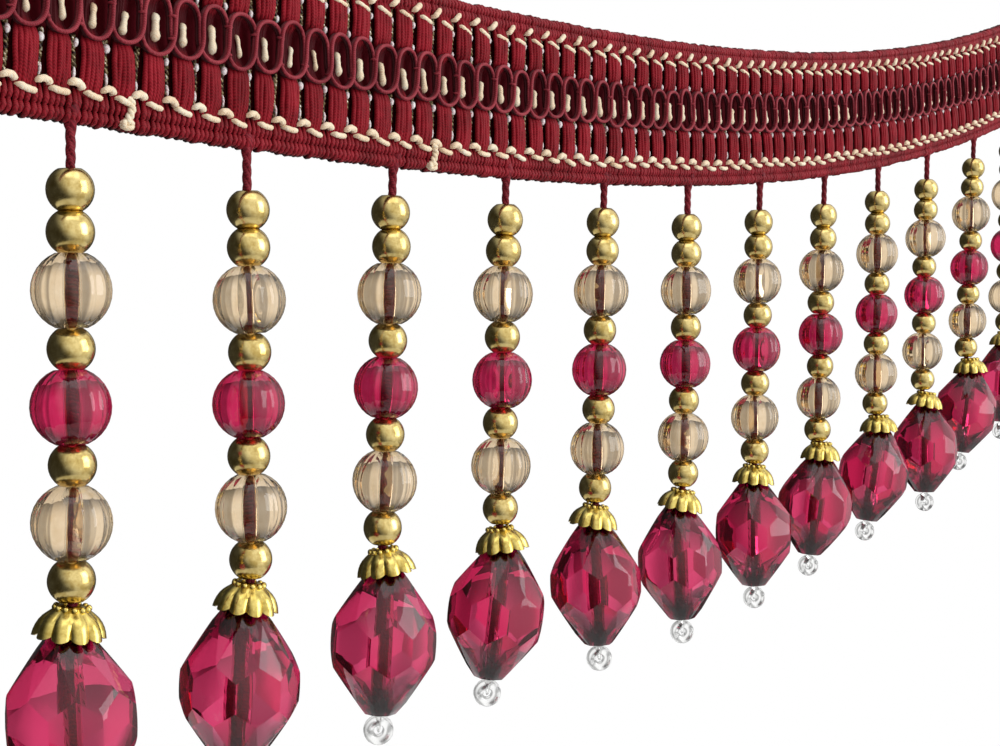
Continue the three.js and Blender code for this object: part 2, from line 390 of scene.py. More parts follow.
# the ground is a deep maroon weave: its dark tones are partly its own colour and partly painted shade, and it
# darkens further as painted shade deep in the cloth
groundRed = yarnMaterial(
    "dark ground weave with painted shade", (paintedShadeRed, (0.13, 0.003, 0.010), (0.24, 0.009, 0.022)),
    roughness=0.8, sheen=0.0, turns=900.0, gloss=0.05, depth=(0.3 * mm, 0.6 * mm), shadeTone=paintedShadeRed
)
hangingRed = yarnMaterial(
    "dark red hanging thread", ((0.08, 0.002, 0.006), (0.18, 0.006, 0.014), (0.34, 0.020, 0.035)),
    roughness=0.6, sheen=0.05, turns=1900.0
)
# painted shade: the cream turns brown where its tucked ends sink into the cloth
creamYarn = yarnMaterial(
    "cream yarn", ((0.80, 0.54, 0.34), (1.0, 0.82, 0.57), (1.0, 0.95, 0.78)),
    roughness=0.6, sheen=0.1, turns=2500.0, relief=0.25,
    depth=(0.3 * mm, 0.8 * mm), shadeTone=(0.32, 0.10, 0.05)
)


def metalYarnMaterial():
    # olive gold plies with black and silver, spread by noise as painted glints over mostly near-black, which
    # is partly painted shade in the slot
    look, tree, shader = newMaterial("twisted metallic yarn")
    place = tree.nodes.new("ShaderNodeTexCoord")
    pliesAndGlints = addNode(tree, "ShaderNodeTexNoise", Scale=1700.0, Detail=2.0, Roughness=0.7)
    tree.links.new(place.outputs["Object"], pliesAndGlints.inputs["Vector"])
    dark, olive, pale, silver = (0.02, 0.006, 0.004), (0.16, 0.11, 0.04), (0.36, 0.28, 0.15), (0.9, 0.86, 0.8)
    # painted glints: the pale and silver spots stand for glints on the plies
    colour = ramp(tree, pliesAndGlints.outputs["Fac"], [(0.42, dark), (0.51, olive), (0.6, pale), (0.69, silver)])
    tree.links.new(colour, shader.inputs["Base Color"])
    setInputs(shader, {"Metallic": 0.35, "Roughness": 0.35})
    addBump(tree, shader, pliesAndGlints.outputs["Fac"], 0.5, 0.06 * mm)
    return look


metalYarn = metalYarnMaterial()
whiteFleck = yarnMaterial(
    "white fleck", ((0.62, 0.38, 0.38), (0.92, 0.82, 0.82), (1.0, 1.0, 1.0)),
    roughness=0.35, sheen=0.2, turns=1500.0
)


def goldMaterial(name, tones, roughness, waves):
    look, tree, shader = newMaterial(name)
    plastic = placeGroup(tree, mouldedPlastic, Waves=waves, Wear=900.0)
    colour = ramp(tree, plastic.outputs["Mask"], [(0.35, tones[0]), (0.6, tones[1])])
    tree.links.new(colour, shader.inputs["Base Color"])
    shader.inputs["Metallic"].default_value = 1.0
    rough = tree.nodes.new("ShaderNodeMapRange")
    setInputs(rough, {"To Min": roughness, "To Max": roughness + 0.16})
    tree.links.new(plastic.outputs["Mask"], rough.inputs["Value"])
    tree.links.new(rough.outputs["Result"], shader.inputs["Roughness"])
    addBump(tree, shader, plastic.outputs["Height"], 0.25, 0.12 * mm)
    return look


beadGold = goldMaterial("plated gold bead", ((0.48, 0.34, 0.10), (0.76, 0.60, 0.25)), 0.12, 420.0)
capGold = goldMaterial("plated gold cap", ((0.46, 0.33, 0.07), (0.76, 0.60, 0.18)), 0.14, 500.0)


def acrylicMaterial(name, tint, paler, roughness, clear=1.0, facets=None):
    # clear tinted acrylic: the tint varies a little as moulded plastic does; with facets, each facet takes
    # instead a tone between painted shade and painted reflection
    look, tree, shader = newMaterial(name)
    plastic = placeGroup(tree, mouldedPlastic, Waves=260.0, Wear=700.0)
    colour = ramp(tree, plastic.outputs["Mask"], [(0.35, tint), (0.7, paler)])
    if facets:
        tone = addNode(tree, "ShaderNodeAttribute", attribute_name="paintedFacetLight")
        colour = ramp(tree, tone.outputs["Fac"], list(zip((0.0, 0.3, 0.65, 1.0), facets)))
    tree.links.new(colour, shader.inputs["Base Color"])
    setInputs(shader, {"Transmission Weight": clear, "IOR": 1.49, "Roughness": roughness})
    addBump(tree, shader, plastic.outputs["Height"], 0.12, 0.1 * mm)
    return look


rubyTint, rubyPaler = (0.50, 0.011, 0.068), (0.68, 0.035, 0.13)
champagne = acrylicMaterial("champagne acrylic", (0.72, 0.53, 0.32), (0.82, 0.66, 0.46), 0.03)
ruby = acrylicMaterial("ruby acrylic", rubyTint, rubyPaler, 0.02, clear=0.94)
# painted shade and painted reflection: the drop's facets take tones from near-black to pink instead of one
# tint
rubyFacets = acrylicMaterial(
    "ruby facets with painted light", rubyTint, rubyPaler, 0.02, clear=0.94,
    facets=((0.04, 0.0, 0.006), (0.40, 0.006, 0.045), (0.62, 0.018, 0.095), (0.88, 0.15, 0.31))
)
clearGlass = acrylicMaterial("clear stop bead", (0.94, 0.94, 0.93), (0.99, 0.99, 0.98), 0.14)
print("materials made")

# Woven ground: a thin sheet with the braid's whole height, ridged as its warp threads run
ground = {
    "thickness": 0.45 * mm, "face": 0.12 * mm, "margin": 0.15 * mm,
    "warpPitch": 0.8 * mm, "ridge": 0.14 * mm, "rows": 10,
}


def makeGround():
    steps = int(round(2 * trimEnd / ground["warpPitch"])) * 4
    height = band["height"] - 2 * ground["margin"]
    bpy.ops.mesh.primitive_grid_add(
        x_subdivisions=steps, y_subdivisions=ground["rows"], size=1, rotation=(math.pi / 2, 0, 0)
    )
    sheet = bpy.context.object
    sheet.name = "braid_ground"
    sheet.scale = (2 * trimEnd, height, 1)
    sheet.location = (0, -ground["face"], band["height"] / 2)
    bpy.ops.object.transform_apply(location=True, rotation=True, scale=True)
    applyModifier(sheet, "SOLIDIFY", thickness=ground["thickness"], offset=-1.0)
    points = readPoints(sheet)
    middle = -ground["face"] + ground["thickness"] / 2
    ridge = ground["ridge"] * np.abs(np.cos(math.pi * points[:, 0] / ground["warpPitch"]))
    points[:, 1] += np.where(points[:, 1] > middle, ridge, -ridge * 0.5)
    writePoints(sheet, points)
    hangOnBand(sheet)
    pick(sheet)
    bpy.ops.object.shade_smooth()
    return finishPiece(sheet, groundRed, ["braid"])


# Column ribs: six rayon threads side by side, raised above and below the scroll and low behind it
ribs = {
    "threads": 6, "spread": 2.15 * mm, "radius": 0.335 * mm, "crown": 0.3 * mm, "waver": 0.08 * mm,
    "steps": 30,
    # down from the top edge, out from the middle plane, how closely the threads lie
    "rows": [
        (2.0, 0.30, 0.95), (2.8, 0.62, 0.98), (3.7, 0.92, 1.02), (5.4, 1.0, 1.05), (6.9, 0.9, 1.0),
        (7.6, 0.5, 0.9), (8.4, 0.08, 0.66), (10.5, -0.05, 0.5), (12.7, 0.1, 0.66), (13.5, 0.5, 0.9),
        (14.3, 0.9, 1.0), (16.0, 1.0, 1.05), (17.6, 0.95, 1.02), (18.6, 0.75, 0.98), (19.4, 0.5, 0.95),
        (20.0, 0.35, 0.9),
    ],
}


def makeRibs(chance):
    rows = np.array(ribs["rows"])
    down = np.linspace(rows[0, 0], rows[-1, 0], ribs["steps"])
    out = np.interp(down, rows[:, 0], rows[:, 1]) * mm
    close = np.interp(down, rows[:, 0], rows[:, 2])
    up = band["height"] - down * mm
    paths = []
    for rib in range(band["ribCount"]):
        middle = ribMiddle(rib)
        for thread in range(ribs["threads"]):
            share = 2 * thread / (ribs["threads"] - 1) - 1
            sway = ribs["waver"] * np.sin(down * chance.uniform(0.5, 1.3) + chance.uniform(0, 6.3))
            x = middle + share * ribs["spread"] / 2 * close + sway
            lift = ribs["crown"] * (1 - share**2) + chance.uniform(-0.06, 0.05) * mm
            thickness = chance.uniform(0.88, 1.08)
            paths.append(pathOf(x, -(out + lift * close), up, thickness))
    return weave("rib_threads", paths, ribs["radius"], ribRed)


# Metallic yarn in the slots between ribs, above and below the scroll, with a white fleck at each end
slots = {
    "spans": [(2.9, 7.8), (13.3, 18.2)], "out": 0.42 * mm, "plyRadius": 0.19 * mm, "plyOffset": 0.16 * mm,
    "pitch": 1.2 * mm, "steps": 26, "plies": 2, "waver": 0.1 * mm,
}
flecks = {
    "downs": [4.3, 7.1, 14.15, 17.35], "halves": [0.4, 0.42, 0.46, 0.7], "widths": [0.85, 0.85, 1.2, 0.62],
    "out": 0.72 * mm, "radius": 0.31 * mm, "steps": 9, "missing": 0.12,
}


def makeSlotYarns(chance):
    paths = []
    for gapNumber in range(1, band["ribCount"]):
        x = slotMiddle(gapNumber)
        for top, bottom in slots["spans"]:
            down = np.linspace(top, bottom, slots["steps"])
            sway = slots["waver"] * np.sin(down * 1.1 + chance.uniform(0, 6.3))
            path = pathOf(x + sway, -slots["out"], band["height"] - down * mm)
            start = chance.uniform(0, 6.3)
            paths.extend(plied(path, slots["plies"], slots["plyOffset"], slots["pitch"], start))
    return weave("metallic_yarn", paths, slots["plyRadius"], metalYarn)


def makeFlecks(chance):
    paths = []
    for gapNumber in range(1, band["ribCount"]):
        x = slotMiddle(gapNumber)
        for down, half, width in zip(flecks["downs"], flecks["halves"], flecks["widths"]):
            if chance.uniform(0, 1) < flecks["missing"]:
                continue
            along = np.linspace(-1, 1, flecks["steps"])
            thickness = np.sqrt(1 - (0.97 * along) ** 2) * width * chance.uniform(0.7, 1.1)
            level = band["height"] - (down + chance.uniform(-0.12, 0.12)) * mm
            out = flecks["out"] - 0.15 * mm * along**2 + chance.uniform(-0.1, 0.08) * mm
            place = x + chance.uniform(-0.1, 0.1) * mm + chance.uniform(-0.08, 0.08) * mm * along
            paths.append(pathOf(place, -out, level - half * mm * along, thickness))
    return weave("white_flecks", paths, flecks["radius"], whiteFleck)


# Scroll: two meandering cords of opposite phase that cross between the ribs and so leave a chain of ovals
scroll = {
    "middle": 10.5, "reach": 3.0, "bulge": 0.62, "out": 1.5 * mm, "cross": 0.2 * mm, "radius": 0.225 * mm,
    "courses": ((0.0, 1.0), (0.45, 1.1)),  # how far each course lies below the first, and its thickness
    "stepsPerLoop": 18,
}


def makeScroll(chance):
    loops = band["ribCount"] // 2
    quarter = band["ribPitch"] / math.pi
    paths = []
    for cord in (0, 1):
        turn = np.linspace(0, 2 * math.pi * loops, loops * 2 * scroll["stepsPerLoop"] + 1)
        uneven = 0.05 * np.sin(turn * 0.37 + cord * 2) + 0.05 * np.sin(turn * 0.83 + cord)
        reach = scroll["reach"] * (1 + uneven)
        x = -trimEnd + band["ribPitch"] / 2 + quarter * turn + scroll["bulge"] * mm * np.sin(2 * turn)
        x += 0.12 * mm * np.sin(turn * 0.71 + cord * 1.7) + 0.1 * mm * np.sin(turn * 1.37 + cord * 2.9)
        sign = 1 if cord == 0 else -1
        down = scroll["middle"] + sign * reach * np.cos(turn)
        out = scroll["out"] + sign * scroll["cross"] * np.sin(turn)
        inside = (x > -trimEnd + 0.2 * mm) & (x < trimEnd - 0.2 * mm)
        for below, thickness in scroll["courses"]:
            path = pathOf(x, below * mm - out, band["height"] - down * mm, thickness)
            paths.append(path[inside])
    return weave("scroll_cords", paths, scroll["radius"], scrollRed, sides=8)


# Links: short stitches that tie neighbouring ovals together
links = {
    "downs": (9.55, 12.15), "half": 0.42 * mm, "out": 1.74 * mm, "radius": 0.19 * mm,
    "arch": 0.55 * mm, "missing": 0.25, "steps": 7,
}


def makeLinks(chance):
    paths = []
    for gapNumber in range(1, band["ribCount"]):
        x = slotMiddle(gapNumber)
        for down in links["downs"]:
            if chance.uniform(0, 1) < links["missing"]:
                continue
            level = band["height"] - (down + chance.uniform(-0.3, 0.3)) * mm
            along = np.linspace(-1, 1, links["steps"])
            out = links["out"] - links["arch"] * along**2
            tilt = chance.uniform(-0.12, 0.12) * mm
            thickness = 1 - 0.3 * np.abs(along)
            paths.append(pathOf(x + along * links["half"], -out, level + tilt * along, thickness))
    return weave("scroll_links", paths, links["radius"], scrollRed)


# Cream bars: one stitch in every oval, thicker at its ends
bars = {"top": 9.65, "bottom": 12.15, "out": 0.6 * mm, "radius": 0.54 * mm, "steps": 12, "aside": 0.2 * mm}


def makeBars(chance):
    paths = []
    for rib in range(band["ribCount"]):
        middle = ribMiddle(rib) + bars["aside"] + chance.uniform(-0.2, 0.2) * mm
        share = np.linspace(0, 1, bars["steps"])
        top = bars["top"] + chance.uniform(-0.15, 0.45)
        down = top + share * (bars["bottom"] + chance.uniform(-0.2, 0.15) - top)
        lean = chance.uniform(-0.25, 0.2) * mm
        width = 1.08 - 0.5 * chance.uniform(0, 1) ** 2
        ends = 0.66 + 0.36 * np.abs(2 * share - 1) ** 2 + 0.26 * share**2 + 0.05 * np.sin(share * 19 + rib)
        tucked = np.clip(np.minimum(share, 1 - share) * 9, 0.35, 1)
        out = bars["out"] - 0.5 * mm * (1 - tucked)
        thickness = width * ends * tucked**0.5
        paths.append(pathOf(middle - lean * (2 * share - 1), -out, band["height"] - down * mm, thickness))
    return weave("cream_bars", paths, bars["radius"], creamYarn, sides=8)


# Cream stitch rows: a short knob over each slot and a longer dash over each rib, tucked in at their ends
creamRows = {
    "out": 1.36 * mm, "tuck": 0.75 * mm, "steps": 13,
    # down from the top edge, half length, drop over that half, arch, radius
    "upperKnob": (2.3, 0.5, -0.42, 0.0, 0.36), "upperDash": (3.55, 1.05, 0.34, 0.0, 0.28),
    "lowerKnob": (18.35, 0.76, 0.04, 0.34, 0.39), "lowerDash": (19.4, 0.95, 0.14, -0.1, 0.33),
    "thickest": 0.43 * mm,
}


def creamStitch(chance, x, kind, wobble):
    down, half, drop, arch, radius = creamRows[kind]
    along = np.linspace(-1, 1, creamRows["steps"])
    down += chance.uniform(-0.09, 0.09) + wobble
    drop += chance.uniform(-0.1, 0.14)
    half *= chance.uniform(0.88, 1.08) * mm
    path = down + drop * along + arch * along**2
    ends = np.clip((1 - np.abs(along)) * 4.5, 0, 1)
    out = creamRows["out"] - creamRows["tuck"] * (1 - ends) ** 2 + chance.uniform(-0.05, 0.05) * mm
    thickness = radius * mm / creamRows["thickest"] * (0.5 + 0.5 * np.sqrt(ends))
    thickness *= (1 + 0.06 * np.sin(along * 9 + x / mm)) * chance.uniform(0.92, 1.06)
    return pathOf(x + half * along, -out, band["height"] - path * mm, thickness)


def makeCreamRows(chance):
    paths = []
    for rib in range(band["ribCount"]):
        slot = slotMiddle(rib) + chance.uniform(-0.12, 0.12) * mm
        middle = ribMiddle(rib) + chance.uniform(-0.1, 0.1) * mm
        for side in ("upper", "lower"):
            phase = 0 if side == "upper" else 2
            wobble = 0.12 * math.sin(rib * 0.71 + phase) + 0.08 * math.sin(rib * 1.9)
            if rib:
                paths.append(creamStitch(chance, slot, side + "Knob", wobble))
            paths.append(creamStitch(chance, middle, side + "Dash", wobble))
    return weave("cream_rows", paths, creamRows["thickest"], creamYarn, sides=8)


# Edge turns: short upright threads wrapped over the upper and the lower edge
edgeTurns = {
    "pitch": 0.68 * mm, "radius": 0.33 * mm, "slant": 0.2 * mm, "ragged": 0.16 * mm,
    # from the edge inwards, out from the middle plane, thickness
    "upper": [
        (2.75, 0.42, 0.75), (2.3, 0.8, 1.0), (1.8, 0.95, 1.1), (1.35, 0.86, 0.98), (1.15, 0.72, 0.82),
        (0.95, 0.84, 0.98), (0.6, 0.94, 1.1), (0.3, 0.8, 1.0), (0.05, 0.45, 0.85), (0.0, -0.05, 0.9),
        (0.35, -0.32, 1.0), (1.2, -0.42, 1.0), (2.3, -0.38, 0.85),
    ],
    "lower": [
        (3.3, 0.5, 0.6), (2.8, 0.72, 0.75), (2.4, 0.84, 0.9), (1.95, 0.95, 1.06), (1.5, 0.86, 0.92),
        (1.28, 0.68, 0.74), (1.05, 0.82, 0.92), (0.62, 0.98, 1.12), (0.28, 0.82, 0.98), (0.05, 0.42, 0.85),
        (0.0, 0.0, 0.85), (0.35, -0.32, 1.0), (1.2, -0.42, 1.0), (2.3, -0.38, 0.85),
    ],
}


def edgeTurnPaths(chance, side):
    rows = np.array(edgeTurns[side])
    count = int(round(2 * trimEnd / edgeTurns["pitch"]))
    paths = []
    for turn in range(count):
        x = -trimEnd + (turn + 0.5) * 2 * trimEnd / count
        ragged = chance.uniform(-1, 1) * edgeTurns["ragged"] * np.clip(1 - rows[:, 0] / 0.9, 0, 1)
        fromEdge = np.maximum(rows[:, 0] * mm + ragged, -0.1 * mm)
        up = fromEdge if side == "lower" else band["height"] - fromEdge
        slant = edgeTurns["slant"] * (rows[:, 0] / 3.0 - 0.5) * chance.uniform(0.5, 1.4)
        jitter = chance.uniform(-0.09, 0.09) * mm
        thickness = rows[:, 2] * chance.uniform(0.84, 1.12)
        out = rows[:, 1] * mm + chance.uniform(-0.05, 0.05) * mm
        paths.append(pathOf(x + slant + jitter, -out, up, thickness))
    return paths


def makeEdges(chance):
    edges = []
    for side, node in (("upper", "braid"), ("lower", "fringe")):
        paths = edgeTurnPaths(chance, side)
        edges.append(weave(f"{side}_edge_turns", paths, edgeTurns["radius"], edgeRed, [node]))
    return edges


# Two cream tacking stitches knotted over the lower edge
tacks = {
    "places": [-125.5 * mm, -76.6 * mm], "radius": 0.28 * mm, "top": 3.2 * mm, "length": 2.6 * mm,
    "out": 1.4 * mm, "wave": 0.35 * mm, "plies": 2, "plyOffset": 0.2 * mm, "pitch": 1.4 * mm,
    "knotHalf": (0.6 * mm, 0.35 * mm, 0.25 * mm),  # along the edge, up and out
    "knotMiddle": (-0.1 * mm, 0.45 * mm, 1.25 * mm),
}


def makeTacks():
    paths = []
    for place in tacks["places"]:
        share = np.linspace(0, 1, 14)
        up = tacks["top"] - tacks["length"] * share
        out = tacks["out"] - 0.1 * mm * share**3
        x = place + tacks["wave"] * np.sin(share * 4)
        paths.extend(plied(pathOf(x, -out, up), tacks["plies"], tacks["plyOffset"], tacks["pitch"]))
        knotTurn = np.linspace(0, 4 * math.pi, 24)
        (halfX, halfUp, halfOut), (middleX, middleUp, middleOut) = tacks["knotHalf"], tacks["knotMiddle"]
        knotX = place + middleX + halfX * np.cos(knotTurn)
        knotUp = middleUp + halfUp * np.sin(knotTurn)
        knotOut = middleOut + halfOut * np.sin(knotTurn * 1.5)
        paths.append(pathOf(knotX, -knotOut, knotUp))
    return weave("cream_tacks", paths, tacks["radius"], creamYarn, nodes=None)


chance = np.random.RandomState(21)
groundSheet = makeGround()
for makeThreads in (makeRibs, makeSlotYarns, makeFlecks, makeScroll, makeLinks, makeBars, makeCreamRows):
    makeThreads(chance)
makeEdges(chance)
makeTacks()

# Strands: from the lower selvedge down, leaning and sliding towards the sway side as the photo shows them
strand = {
    "firstX": -132.0 * mm, "pitch": 24 * mm, "rootOut": 0.35 * mm, "rootDepth": 1.6 * mm,
    "bareThread": 4.5 * mm, "sway": Vector((0.6, -0.8, 0.0)), "gap": 0.3 * mm,
    "beadSlide": 0.14 * mm, "beadTilt": math.radians(2.2),  # each bead sits a little askew on its thread
    "spinOfSeat": 0.7, "spinOfStrand": 1.9, "spinOfCap": 0.5, "spinOfPlies": 1.3,  # radians each
}
# spare thread and the root's shift in mm, then leans in degrees and slides in mm of string, cap and drop
strandColumns = ("spare", "aside", "string", "cap", "capSlide", "drop", "dropSlide")
strandRows = [
    dict(zip(strandColumns, row)) for row in (
        (0.15, 0.0, 0.4, -6, -0.05, 2.5, -0.6),
        (0.3, 0.0, 1.0, -8, -0.2, -2, -0.8),
        (-0.85, 0.8, -1.1, 9.5, 0.2, -2.5, 0.85),
        (-0.8, 0.0, -0.3, 8, 0.05, -5.5, 0.85),
        (-0.8, 0.0, -0.6, -8, 0.05, 3.6, -0.5),
        (0.25, 0.0, 0.15, -10, 0.05, 3, -0.9),
        (0.3, 0.0, 0.0, -3, 0.05, 1.8, -0.25),
        (0.75, 0.7, -0.2, -2.5, 0.7, -5.0, 0.75),
        (0.3, 0.0, 0.6, 2, 0.75, -7, 1.35),
        (0.7, 0.0, 0.2, -8, 0.95, 1.0, 0.7),
        (0.0, 1.6, -0.5, 4, 0.85, -6.5, 1.45),
        (0.2, 0.0, 0.4, -2, 0.0, -2, 0.1),
    )
]
stringing = ["gold", "gold", "champagne", "gold", "ruby", "gold", "champagne", "gold"]
boreRadius = 0.66 * mm
goldBead = {"height": 4.2 * mm, "radius": 2.42 * mm, "sides": 24, "rings": 14}
ribbedBead = {
    "height": 7.5 * mm, "radius": 4.08 * mm, "flutes": 14, "rings": 12, "valley": 0.955, "slope": 0.985,
}
beadHeights = {
    "gold": goldBead["height"], "champagne": ribbedBead["height"], "ruby": ribbedBead["height"]
}
stringLength = sum(beadHeights[kind] for kind in stringing)
cap = {
    "collarRadius": 2.15 * mm, "petals": 10, "wall": 0.32 * mm, "lift": 0.2 * mm,
    "pearls": 12, "pearl": 0.36 * mm, "pearlRing": 1.66 * mm, "pearlLevel": -0.3 * mm,
    # radius and level of the plain skirt in mm
    "profile": [
        (0.85, 0.0), (1.25, -0.06), (1.62, -0.25), (1.95, -0.55), (2.35, -0.85), (2.75, -1.2),
        (3.08, -1.62), (3.33, -2.1), (3.5, -2.6), (3.6, -3.15),
    ],
    # the petals start at this depth, reach full depth after this much, swell and hang by this much
    "petalStart": 0.45, "petalReach": 2.7, "petalSwell": 0.6 * mm, "petalHang": 0.4 * mm,
}
drop = {
    "top": 2.65 * mm, "length": 18.0 * mm, "sides": 8, "blankRadius": 7.4 * mm, "bore": 1.15 * mm,
    "edge": 0.13 * mm, "swell": 0.3, "swellFrom": 2.05 * mm,  # the two ends inside this radius stay flat
    # a row's facets pass this far from the axis at this level, tilted by degrees, half turned or not
    "facetRows": [
        {"tilt": 0.0, "reach": 6.28, "level": 0.0, "turn": 0.0},
        {"tilt": 30.5, "reach": 5.32, "level": 4.15, "turn": 0.5},
        {"tilt": 37.5, "reach": 3.38, "level": 7.1, "turn": 0.0},
    ],
    # the moulded facets swell a little towards this round outline: height from the middle, radius
    "outline": [
        (0.0, 6.8), (0.8, 6.75), (1.75, 6.55), (2.9, 6.1), (4.15, 5.4), (5.5, 4.55), (7.15, 3.45), (9.1, 2.1),
    ],
    # how far from the middle the colour darkens as painted shade, as shares of half the length, and how
    # quickly
    "darkTop": 0.74, "darkBottom": 0.64, "darkFade": 0.12, "darkest": 0.95,
}
stop = {"radius": 1.9 * mm, "hole": 0.6 * mm, "length": 2.2 * mm, "turn": math.radians(-36)}


def downwards(lean):
    angle = math.radians(lean)
    return Vector((0, 0, -math.cos(angle))) + strand["sway"] * math.sin(angle)


def strandPlaces(number):
    row = strandRows[number]
    alongEdge = strand["firstX"] + number * strand["pitch"] + row["aside"] * mm
    root = Vector(onBand(np.float64(alongEdge), 0.0, strand["rootOut"]))
    stringWay = downwards(row["string"])
    dropWay = downwards(row["drop"])
    stringTop = root + stringWay * (strand["bareThread"] + row["spare"] * mm)
    stringEnd = stringTop + stringWay * stringLength
    lift = cap["collarRadius"] * math.sin(math.radians(abs(row["cap"])))
    pivot = stringEnd + stringWay * (strand["gap"] + lift)
    capTop = pivot + strand["sway"] * row["capSlide"] * mm
    dropStart = pivot + strand["sway"] * row["dropSlide"] * mm + dropWay * drop["top"]
    dropEnd = dropStart + dropWay * drop["length"]
    stopMiddle = dropEnd + dropWay * (strand["gap"] + stop["radius"])
    return {
        "row": row, "root": root, "stringWay": stringWay, "stringTop": stringTop, "stringEnd": stringEnd,
        "capTop": capTop, "dropWay": dropWay, "dropStart": dropStart, "dropEnd": dropEnd, "stop": stopMiddle,
    }


def leaning(lean):
    axis = Vector((0, 0, 1)).cross(strand["sway"])
    return Matrix.Rotation(-math.radians(lean), 4, axis)


def closeMesh():
    # in edit mode: merge what coincides, turn every face outwards and leave edit mode
    bpy.ops.mesh.select_all(action="SELECT")
    bpy.ops.mesh.remove_doubles(threshold=0.001 * mm)
    bpy.ops.mesh.normals_make_consistent(inside=False)
    bpy.ops.object.mode_set(mode="OBJECT")


def turnRings(name, rings, sides, closed=True):
    # a circle is extruded from ring to ring and its seam merged, as on a lathe
    deselectAll()
    radius, height = rings[0]
    bpy.ops.mesh.primitive_circle_add(vertices=sides, radius=radius, location=(0, 0, height))
    shape = bpy.context.object
    shape.name = name
    bpy.ops.object.transform_apply(location=True)
    bpy.ops.object.mode_set(mode="EDIT")
    bpy.ops.mesh.select_all(action="SELECT")
    for nextRadius, nextHeight in rings[1:] + (rings[:1] if closed else []):
        bpy.ops.mesh.extrude_region_move(TRANSFORM_OT_translate={"value": (0, 0, nextHeight - height)})
        scale = nextRadius / radius
        bpy.ops.transform.resize(value=(scale, scale, 1), center_override=(0, 0, nextHeight))
        radius, height = nextRadius, nextHeight
    closeMesh()
    return shape


def roundProfile(radius, height, rings, hole):
    # an arc cut off flat at both ends, then the hole down the middle
    cutAngle = math.asin(height / 2 / radius)
    arc = []
    for step in range(rings + 1):
        angle = cutAngle - 2 * cutAngle * step / rings
        arc.append((radius * math.cos(angle), radius * math.sin(angle) - height / 2))
    return arc + [(hole, -height), (hole, 0.0)]


def smoothByAngle(piece, degrees):
    pick(piece)
    bpy.ops.object.shade_smooth_by_angle(angle=math.radians(degrees))


def modelGoldBead():
    profile = roundProfile(goldBead["radius"], goldBead["height"], goldBead["rings"], boreRadius)
    bead = turnRings("gold_bead_model", profile, goldBead["sides"])
    smoothByAngle(bead, 50)
    return bead


def modelRibbedBead():
    sides = ribbedBead["flutes"] * 4
    profile = roundProfile(ribbedBead["radius"], ribbedBead["height"], ribbedBead["rings"], boreRadius)
    bead = turnRings("ribbed_bead_model", profile, sides)
    bpy.ops.object.mode_set(mode="EDIT")
    for column, shrink in ((2, ribbedBead["valley"]), (1, ribbedBead["slope"]), (3, ribbedBead["slope"])):
        net = bmesh.from_edit_mesh(bead.data)
        for corner in net.verts:
            angle = math.atan2(corner.co.y, corner.co.x) / (2 * math.pi) * sides
            outside = math.hypot(corner.co.x, corner.co.y) > boreRadius * 1.2
            corner.select = outside and round(angle) % 4 == column
        net.select_flush_mode()
        bmesh.update_edit_mesh(bead.data)
        bpy.ops.transform.resize(value=(shrink, shrink, 1), center_override=(0, 0, 0))
    bpy.ops.object.mode_set(mode="OBJECT")
    smoothByAngle(bead, 35)
    return bead


# Petal cap: a beaded collar over a flared skirt that is scalloped into petals
def modelCap():
    petals = cap["petals"]
    rings = [(radius * mm, level * mm) for radius, level in cap["profile"]]
    skirt = turnRings("cap_model", rings, petals * 8, closed=False)
    points = readPoints(skirt)
    angle = np.arctan2(points[:, 1], points[:, 0])
    depth = np.clip((-points[:, 2] / mm - cap["petalStart"]) / cap["petalReach"], 0, 1)
    lobe = np.abs(np.cos(angle * petals / 2)) ** 0.75
    swell = depth**0.55 * (lobe - 0.78) * cap["petalSwell"]
    radius = np.hypot(points[:, 0], points[:, 1])
    points[:, :2] *= (1 + swell / radius)[:, None]
    points[:, 2] -= depth**3 * (lobe - 0.8) * cap["petalHang"]
    writePoints(skirt, points)
    applyModifier(skirt, "SOLIDIFY", thickness=cap["wall"], offset=-1.0)
    place = (cap["pearlRing"], 0, cap["pearlLevel"])
    bpy.ops.mesh.primitive_uv_sphere_add(segments=10, ring_count=8, radius=cap["pearl"], location=place)
    pearls = bpy.context.object
    bpy.ops.object.transform_apply(location=True)
    bpy.ops.object.mode_set(mode="EDIT")
    bpy.ops.mesh.select_all(action="SELECT")
    bpy.ops.mesh.spin(steps=cap["pearls"], dupli=True, angle=2 * math.pi, center=(0, 0, 0), axis=(0, 0, 1))
    closeMesh()
    pick(skirt)
    pearls.select_set(True)
    bpy.ops.object.join()
    smoothByAngle(skirt, 50)
    return skirt


# Faceted drop: a blank cut facet by facet, as a stone is
def swellFacets(shape):
    applyModifier(shape, "SUBSURF", subdivision_type="SIMPLE", levels=2)
    points = readPoints(shape)
    middle = drop["length"] / 2
    outline = np.array(drop["outline"]) * mm
    radius = np.hypot(points[:, 0], points[:, 1])
    level = points[:, 2] + middle
    target = np.interp(np.abs(level), outline[:, 0], outline[:, 1])
    onSide = (radius > drop["swellFrom"]) & (np.abs(level) < middle - 0.02 * mm)
    factor = np.where(onSide, 1 + drop["swell"] * (target - radius) / np.maximum(radius, mm), 1)
    points[:, :2] *= factor[:, None]
    writePoints(shape, points)


def paintFacetLight(shape):
    # faces that look the same way are one facet and share a tone of painted light and shade, picked at random
    toneOfFacet = {}
    pickTone = np.random.RandomState(7)
    tone = shape.data.attributes.new("paintedFacetLight", "FLOAT", "FACE")
    for face in shape.data.polygons:
        facet = tuple(round(part, 1) for part in face.normal)
        if facet not in toneOfFacet:
            toneOfFacet[facet] = pickTone.uniform(0.28, 1.0)
        tone.data[face.index].value = toneOfFacet[facet]


